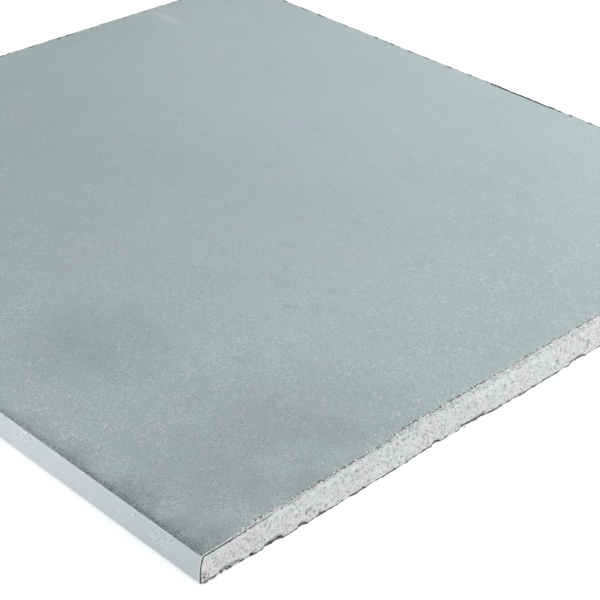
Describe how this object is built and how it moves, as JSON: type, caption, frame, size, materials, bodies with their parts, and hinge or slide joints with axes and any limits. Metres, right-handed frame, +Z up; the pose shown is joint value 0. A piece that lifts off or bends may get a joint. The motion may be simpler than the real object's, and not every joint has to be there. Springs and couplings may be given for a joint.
{
  "type": "drywall sheet",
  "caption": "Cut piece of moisture-resistant drywall sheet: gypsum core between two papers, with one tapered edge wrapped in the pale green face paper.",
  "frame": {"origin": "middle of the sheet's lowest face, on the surface that it lies on", "axes": "+X along the bound edge, +Y across the sheet away from the bound edge, +Z up through the thickness to the face paper"},
  "size_m": [0.37, 0.357, 0.0125],
  "materials": {
    "gypsum": "matte, chalky and finely pitted",
    "face_paper": "matte pale grey-green with fine fibre flecks",
    "back_paper": "matte grey-brown recycled paper"
  },
  "bodies": {
    "root": {"gypsum_core": "gypsum", "face_paper": "face_paper", "back_paper": "back_paper"}
  },
  "joints": []
}
